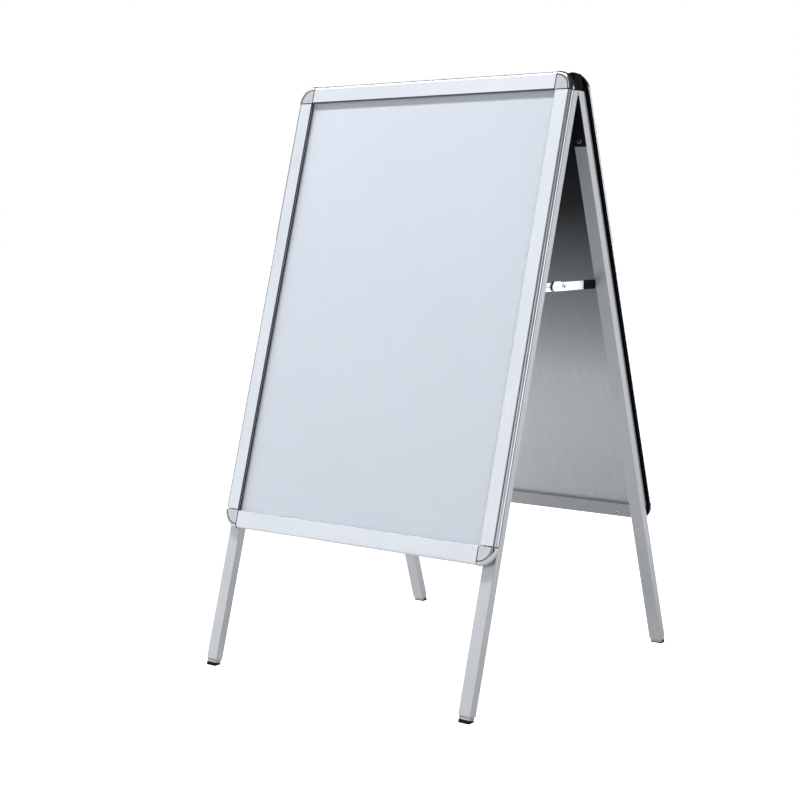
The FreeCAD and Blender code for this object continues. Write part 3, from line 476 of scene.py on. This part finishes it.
for board in ("front", "back"):
    upright_leg = anodised(board + "_leg", board, "up", LEG, 0.38, metallic=0.35)
    board_up = outward_of(board)[2]
    inward = {
        "top": -board_up, "bottom": board_up,
        "left": Vector((1, 0, 0)), "right": Vector((-1, 0, 0)),
    }
    for along, sides, ends in (
        ("across", ("top", "bottom"), ("left", "right")),
        ("up", ("left", "right"), ("top", "bottom")),
    ):
        seams = [inward[word] for word in ends]
        for word in sides:
            rail_name = "%s_rail_%s" % (board, word)
            # lips, seam ends and undersides of rails, and outer faces and groove of bases, carry
            # painted shade
            lips = seams if word == "bottom" else [inward[word]] + seams
            put(rail_name, anodised(rail_name, board, along, RAIL, 0.3, lips, hidden=UNDER_RAIL))
            base_name = "%s_base_%s" % (board, word)
            put(base_name, anodised(
                base_name, board, along, BASE, 0.4, [-inward[word]], hidden=IN_GROOVE
            ))
    for word in ("left", "right"):
        put("%s_leg_%s" % (board, word), upright_leg)
        for level in ("top", "bottom"):
            name = "%s_cap_%s_%s" % (board, level, word)
            put(name, capping(
                name, board, cap_corner(board, level, word), (inward[word], inward[level])
            ))
    put(board + "_cover_sheet", clear_cover(board + "_cover", board))
    put(board + "_backing_panel", backing(board + "_panel", board))

black = moulded("black_nylon", NYLON_BLACK, 0.38, 2600.0, 0.04 * MILLIMETRE)
strap = painted("strap_black", STRAP_BLACK, CHIPPED_STEEL, 0.4)
zinc, zinc_graph = plated("stay_zinc", ZINC, 0.28, 0.05, keep=True)
# painted shade: all of a stay's faces except its flat sides, which face along X, are darkened
flat_side = zinc_graph.maths(
    "MAXIMUM",
    zinc_graph.facing((1.0, 0.0, 0.0), 0.3, 0.7),
    zinc_graph.facing((-1.0, 0.0, 0.0), 0.3, 0.7),
)
zinc_tone = zinc_graph.shader.inputs["Base Color"].links[0].from_socket
zinc_tone = zinc_graph.mix(flat_side, shade(ZINC, PAINTED_EDGE_SHADE), zinc_tone)
zinc_graph.join(zinc_tone, zinc_graph.shader.inputs["Base Color"])
steel = plated("fastener_steel", STEEL, 0.26, 0.12)
# painted black shade for the floors of pits in screws and rivets
shadowed = plated("recess_shade", SHADE_BLACK, 0.5, 0.3)
sleeve = moulded("sleeve_black", SLEEVE_BLACK, 0.35, 1800.0, 0.03 * MILLIMETRE)
nylon = moulded("plug_nylon", NYLON_PALE, 0.5, 2200.0, 0.04 * MILLIMETRE)
rubber = moulded("pad_rubber", RUBBER, 0.68, 1500.0, 0.08 * MILLIMETRE)
MATERIAL_OF = (
    ("top_block", black), ("sleeve", sleeve), ("hinge_strap", strap), ("rivet", steel),
    ("pin", steel), ("stay_", zinc), ("fasteners", steel), ("springs", steel), ("plugs", nylon),
    ("pads", rubber),
)
for node in nodes:
    found = [material for word, material in MATERIAL_OF if word in node]
    if found:
        put(node, found[0])

# ------------------------------------------------------------------ softened edges

STAY_EDGE = 0.25 * MILLIMETRE
BLOCK_EDGE = 0.6 * MILLIMETRE
FOOT_EDGE = 0.5 * MILLIMETRE
SOFTENED_ANGLE = math.radians(40.0)


def soften(node, width):
    """Welds a CAD node's facets and rounds its sharp edges, by modifiers only."""
    piece = nodes[node]
    weld = piece.modifiers.new("weld", "WELD")
    weld.merge_threshold = WELD_REACH
    bevel = piece.modifiers.new("round", "BEVEL")
    bevel.width = width
    bevel.segments = 2
    bevel.limit_method = "ANGLE"
    bevel.angle_limit = SOFTENED_ANGLE
    bevel.use_clamp_overlap = True
    normals = piece.modifiers.new("normals", "WEIGHTED_NORMAL")
    normals.keep_sharp = True


for node in nodes:
    if "stay_" in node and "sleeve" not in node:
        soften(node, STAY_EDGE)
    elif "top_block" in node:
        soften(node, BLOCK_EDGE)
    elif "pads" in node or "plugs" in node:
        soften(node, FOOT_EDGE)

# ------------------------------------------------------------------ recesses in screws and rivets

# a pivot is taller than PIVOT_SPAN along its board; of the rest, a screw is wider than SCREW_SPAN
# across it, and what remains is a frame rivet
SCREW_SPAN = 7.0 * MILLIMETRE
PIVOT_SPAN = 10.0 * MILLIMETRE
# recess sizes in millimetres
PIVOT_HOLE, PIVOT_DEPTH = 1.7, 1.0
CROSS_REACH, CROSS_HALF, CROSS_DEPTH = 2.1, 0.42, 1.1
RIVET_HOLE, RIVET_DEPTH = 1.1, 0.7
ELBOW_HOLE, ELBOW_DEPTH = 2.3, 1.5
PIT_EDGE = 0.12 * MILLIMETRE
PIT_FLOOR = 0.1 * MILLIMETRE
PIT_MARGIN = 1.02
PIT_ANGLE = math.radians(35.0)
SHARP_ANGLE = math.radians(32.0)


def solids_of(node):
    """Each separate solid of a node, as a list of its points."""
    work = bmesh.new()
    work.from_mesh(nodes[node].data)
    bmesh.ops.remove_doubles(work, verts=work.verts, dist=WELD_REACH)
    left = set(work.verts)
    found = []
    while left:
        island, front = [], [left.pop()]
        while front:
            vertex = front.pop()
            island.append(vertex.co.copy())
            for edge in vertex.link_edges:
                other = edge.other_vert(vertex)
                if other in left:
                    left.remove(other)
                    front.append(other)
        found.append(island)
    work.free()
    return sorted(found, key=lambda points: tuple(round(c, 5) for c in points_middle(points)))


def points_middle(points):
    return sum(points, Vector()) / len(points)


def end_of(points, axis):
    """The middle of a turned solid's end face that looks along axis."""
    reach = max(point.dot(axis) for point in points)
    middle = points_middle(points)
    return middle + axis * (reach - middle.dot(axis))


def across_of(points, direction):
    reaches = [point.dot(direction) for point in points]
    return max(reaches) - min(reaches)


def add_prism(work, middle, axis, outline, depth):
    """A straight pit of the given outline, sunk against axis from middle, and open above it."""
    side = Vector((0.0, 0.0, 1.0)).cross(axis)
    side = side.normalized() if side.length > 0.1 else Vector((1.0, 0.0, 0.0))
    other = axis.cross(side)
    spread_out = [side * (u * MILLIMETRE) + other * (v * MILLIMETRE) for u, v in outline]
    low = [work.verts.new(middle + offset - axis * depth * MILLIMETRE) for offset in spread_out]
    high = [work.verts.new(middle + offset + axis * MILLIMETRE) for offset in spread_out]
    work.faces.new(list(reversed(low)))
    work.faces.new(high)
    for index in range(len(outline)):
        after = (index + 1) % len(outline)
        work.faces.new((low[index], low[after], high[after], high[index]))


def ring(radius, count=24):
    return [
        (radius * math.cos(2 * math.pi * k / count), radius * math.sin(2 * math.pi * k / count))
        for k in range(count)
    ]


def cross(reach, half):
    return [
        (reach, -half), (reach, half), (half, half), (half, reach), (-half, reach), (-half, half),
        (-reach, half), (-reach, -half), (-half, -half), (-half, -reach), (half, -reach),
        (half, -half),
    ]


def carved(node, body, pits, material):
    """A copy of a CAD node with small pits cut into its heads, standing for the node."""
    work = bmesh.new()
    work.from_mesh(nodes[node].data)
    bmesh.ops.remove_doubles(work, verts=work.verts, dist=WELD_REACH)
    solid = bpy.data.meshes.new(node + "_carved")
    work.to_mesh(solid)
    work.free()
    cutting = bmesh.new()
    for middle, axis, outline, depth in pits:
        add_prism(cutting, middle, axis, outline, depth)
    bmesh.ops.recalc_face_normals(cutting, faces=cutting.faces)
    cutter_mesh = bpy.data.meshes.new("cutter")
    cutting.to_mesh(cutter_mesh)
    cutting.free()
    piece = bpy.data.objects.new(node + "_carved", solid)
    cutter = bpy.data.objects.new("cutter", cutter_mesh)
    for part in (piece, cutter):
        bpy.context.scene.collection.objects.link(part)
    difference = piece.modifiers.new("pits", "BOOLEAN")
    difference.operation = "DIFFERENCE"
    difference.solver = "EXACT"
    difference.object = cutter
    bevel = piece.modifiers.new("round", "BEVEL")
    bevel.width = PIT_EDGE
    bevel.segments = 2
    bevel.angle_limit = PIT_ANGLE
    bpy.context.view_layer.update()
    evaluated = piece.evaluated_get(bpy.context.evaluated_depsgraph_get())
    finished = bpy.data.meshes.new_from_object(evaluated)
    piece.modifiers.clear()
    piece.data = finished
    finished.materials.clear()
    finished.materials.append(material)
    finished.materials.append(shadowed)
    # faces on a pit's floor take the painted shade material
    for face in finished.polygons:
        for middle, axis, outline, depth in pits:
            offset = face.center - middle
            below = offset.dot(axis)
            beside = (offset - axis * below).length
            reach = Vector(outline[0]).length * MILLIMETRE * PIT_MARGIN
            if beside < reach and below < -PIT_FLOOR:
                face.material_index = 1
    finished.shade_smooth()
    finished.set_sharp_from_angle(angle=SHARP_ANGLE)
    bpy.data.objects.remove(cutter)
    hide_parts(node)
    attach(piece, body)


for board in ("front", "back"):
    across, outward, up = outward_of(board)
    pits = []
    for points in solids_of(board + "_fasteners"):
        high, wide = across_of(points, up), across_of(points, across)
        if high > PIVOT_SPAN:
            for axis in (across, -across):
                pits.append((end_of(points, axis), axis, ring(PIVOT_HOLE), PIVOT_DEPTH))
        elif wide > SCREW_SPAN:
            head = end_of(points, outward)
            pits.append((head, outward, cross(CROSS_REACH, CROSS_HALF), CROSS_DEPTH))
        else:
            pits.append((end_of(points, -outward), -outward, ring(RIVET_HOLE), RIVET_DEPTH))
            pits.append((end_of(points, outward), outward, ring(RIVET_HOLE), RIVET_DEPTH))
    body = nodes[board + "_fasteners"]["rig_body"]
    carved(board + "_fasteners", body, pits, steel)

for end in ("outer", "inner"):
    for word in ("left", "right"):
        node = "elbow_rivet_%s_%s" % (end, word)
        points = solids_of(node)[0]
        axis = Vector((1.0 if word == "right" else -1.0, 0.0, 0.0))
        axis = axis * (1.0 if end == "outer" else -1.0)
        pits = [(end_of(points, axis), axis, ring(ELBOW_HOLE), ELBOW_DEPTH)]
        carved(node, nodes[node]["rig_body"], pits, steel)

# ------------------------------------------------------------------ floor, light and camera

FLOOR_REACH = 30.0
FLOOR_NEAR = 0.25
FLOOR_MIDDLE = 1.3
FLOOR_FAR = 4.5
FLOOR_GLOW_CENTRE = 0.4
FLOOR_GLOW_NEAR = 0.68
FLOOR_GLOW_FAR = 1.3
FLOOR_BRIGHT_WAY = (0.62, 0.78, 0.0)
FLOOR_SEEN = 0.95
STUDIO_BASE = 0.05
# direction, angles at which the patch is full and gone, and how much light it adds
STUDIO_PATCHES = (
    ((-0.61, -0.71, 0.35), 13.0, 34.0, 1.15),
    ((-0.78, 0.1, 0.6), 12.0, 32.0, 0.15),
    ((0.79, -0.57, 0.24), 6.0, 17.0, 1.6),
    ((0.62, 0.78, 0.02), 6.0, 20.0, 2.0),
)
# name, place, tip, length, width and power
SOFT_BOXES = (
    ("key", (-1.0, -1.6, 6.6), 15.5, 0.7, 0.7, 225.0),
    ("side_fill", (-2.6, -1.1, 4.6), 15.5, 5.0, 0.42, 110.0),
)


def make_floor():
    """Pale floor that glows more away from the object and behind it, and most to the camera."""
    mesh = bpy.data.meshes.new("floor")
    corners = [(-FLOOR_REACH, -FLOOR_REACH, 0.0), (FLOOR_REACH, -FLOOR_REACH, 0.0),
               (FLOOR_REACH, FLOOR_REACH, 0.0), (-FLOOR_REACH, FLOOR_REACH, 0.0)]
    mesh.from_pydata(corners, [], [(0, 1, 2, 3)])
    floor = bpy.data.objects.new("floor", mesh)
    bpy.context.scene.collection.objects.link(floor)
    graph = Graph("floor")
    place = graph.position()
    cloud = graph.noise(place, 3.0, 3.0, 0.5)
    tone = graph.mix(graph.spread(cloud, 0.3, 0.7), FLOOR_TONE, FLOOR_CLOUD)
    graph.join(tone, graph.shader.inputs["Base Color"])
    away = graph.add("VectorMath", operation="LENGTH")
    graph.join(place, away.inputs[0])
    behind = graph.add("VectorMath", operation="DOT_PRODUCT")
    graph.join(place, behind.inputs[0])
    behind.inputs[1].default_value = FLOOR_BRIGHT_WAY
    near = graph.spread(
        away.outputs["Value"], FLOOR_NEAR, FLOOR_MIDDLE, FLOOR_GLOW_CENTRE, FLOOR_GLOW_NEAR
    )
    added = FLOOR_GLOW_FAR - FLOOR_GLOW_NEAR
    far = graph.spread(behind.outputs["Value"], FLOOR_MIDDLE, FLOOR_FAR, 0.0, added)
    glow = graph.maths("ADD", near, far)
    seen = graph.add("LightPath").outputs["Is Camera Ray"]
    glow = graph.maths("ADD", glow, graph.maths("MULTIPLY", seen, FLOOR_SEEN))
    graph.join(glow, graph.shader.inputs["Emission Strength"])
    graph.set(Roughness=0.8, Emission_Color=(1.0, 1.0, 1.0, 1.0))
    mesh.materials.append(graph.material)


def make_world():
    world = bpy.data.worlds.new("studio")
    bpy.context.scene.world = world
    world.use_nodes = True
    tree = world.node_tree
    tree.nodes.clear()

    def add(kind, **values):
        node = tree.nodes.new("ShaderNode" + kind)
        for name, value in values.items():
            setattr(node, name, value)
        return node

    output = add("OutputWorld")
    seen = add("Background")
    seen.inputs["Color"].default_value = (1.0, 1.0, 1.0, 1.0)
    lit = add("Background")
    coordinate = add("TexCoord")
    total = None
    for direction, full, gone, strength in STUDIO_PATCHES:
        dot = add("VectorMath", operation="DOT_PRODUCT")
        dot.inputs[1].default_value = Vector(direction).normalized()
        tree.links.new(coordinate.outputs["Generated"], dot.inputs[0])
        patch = add("MapRange", interpolation_type="SMOOTHSTEP")
        patch.inputs["From Min"].default_value = math.cos(math.radians(gone))
        patch.inputs["From Max"].default_value = math.cos(math.radians(full))
        patch.inputs["To Max"].default_value = strength
        tree.links.new(dot.outputs["Value"], patch.inputs["Value"])
        joined = add("Math", operation="ADD")
        tree.links.new(patch.outputs["Result"], joined.inputs[0])
        if total is None:
            joined.inputs[1].default_value = STUDIO_BASE
        else:
            tree.links.new(total, joined.inputs[1])
        total = joined.outputs[0]
    tree.links.new(total, lit.inputs["Strength"])
    path = add("LightPath")
    choice = add("MixShader")
    tree.links.new(path.outputs["Is Camera Ray"], choice.inputs["Fac"])
    tree.links.new(lit.outputs[0], choice.inputs[1])
    tree.links.new(seen.outputs[0], choice.inputs[2])
    tree.links.new(choice.outputs[0], output.inputs["Surface"])


def soft_box(name, place, tip, length, width, power):
    """Soft box that runs along X, turned about X to face down and toward the object."""
    light = bpy.data.lights.new(name, "AREA")
    light.shape = "RECTANGLE"
    light.size = length
    light.size_y = width
    light.energy = power
    lamp = bpy.data.objects.new(name, light)
    lamp.location = place
    lamp.rotation_euler = (math.radians(tip), 0.0, 0.0)
    bpy.context.scene.collection.objects.link(lamp)


def make_camera():
    azimuth = math.radians(38.399)
    elevation = math.radians(6.693)
    distance = 3.27721
    roll = math.radians(-0.4477)
    target = Vector((-0.096755, 0.0, 0.496815))
    back = Vector((
        math.sin(azimuth) * math.cos(elevation),
        -math.cos(azimuth) * math.cos(elevation),
        math.sin(elevation),
    ))
    right = Vector((math.cos(azimuth), math.sin(azimuth), 0.0))
    up = back.cross(right)
    turned_right = right * math.cos(roll) + up * math.sin(roll)
    turned_up = up * math.cos(roll) - right * math.sin(roll)
    data = bpy.data.cameras.new("camera")
    data.sensor_width = 36.0
    data.lens = 74.566575
    camera = bpy.data.objects.new("camera", data)
    rotation = Matrix((turned_right, turned_up, back)).transposed().to_4x4()
    camera.matrix_world = Matrix.Translation(target + back * distance) @ rotation
    bpy.context.scene.collection.objects.link(camera)
    bpy.context.scene.camera = camera


make_floor()
make_world()
for soft_box_values in SOFT_BOXES:
    soft_box(*soft_box_values)
make_camera()
bpy.context.scene.view_settings.view_transform = "Standard"
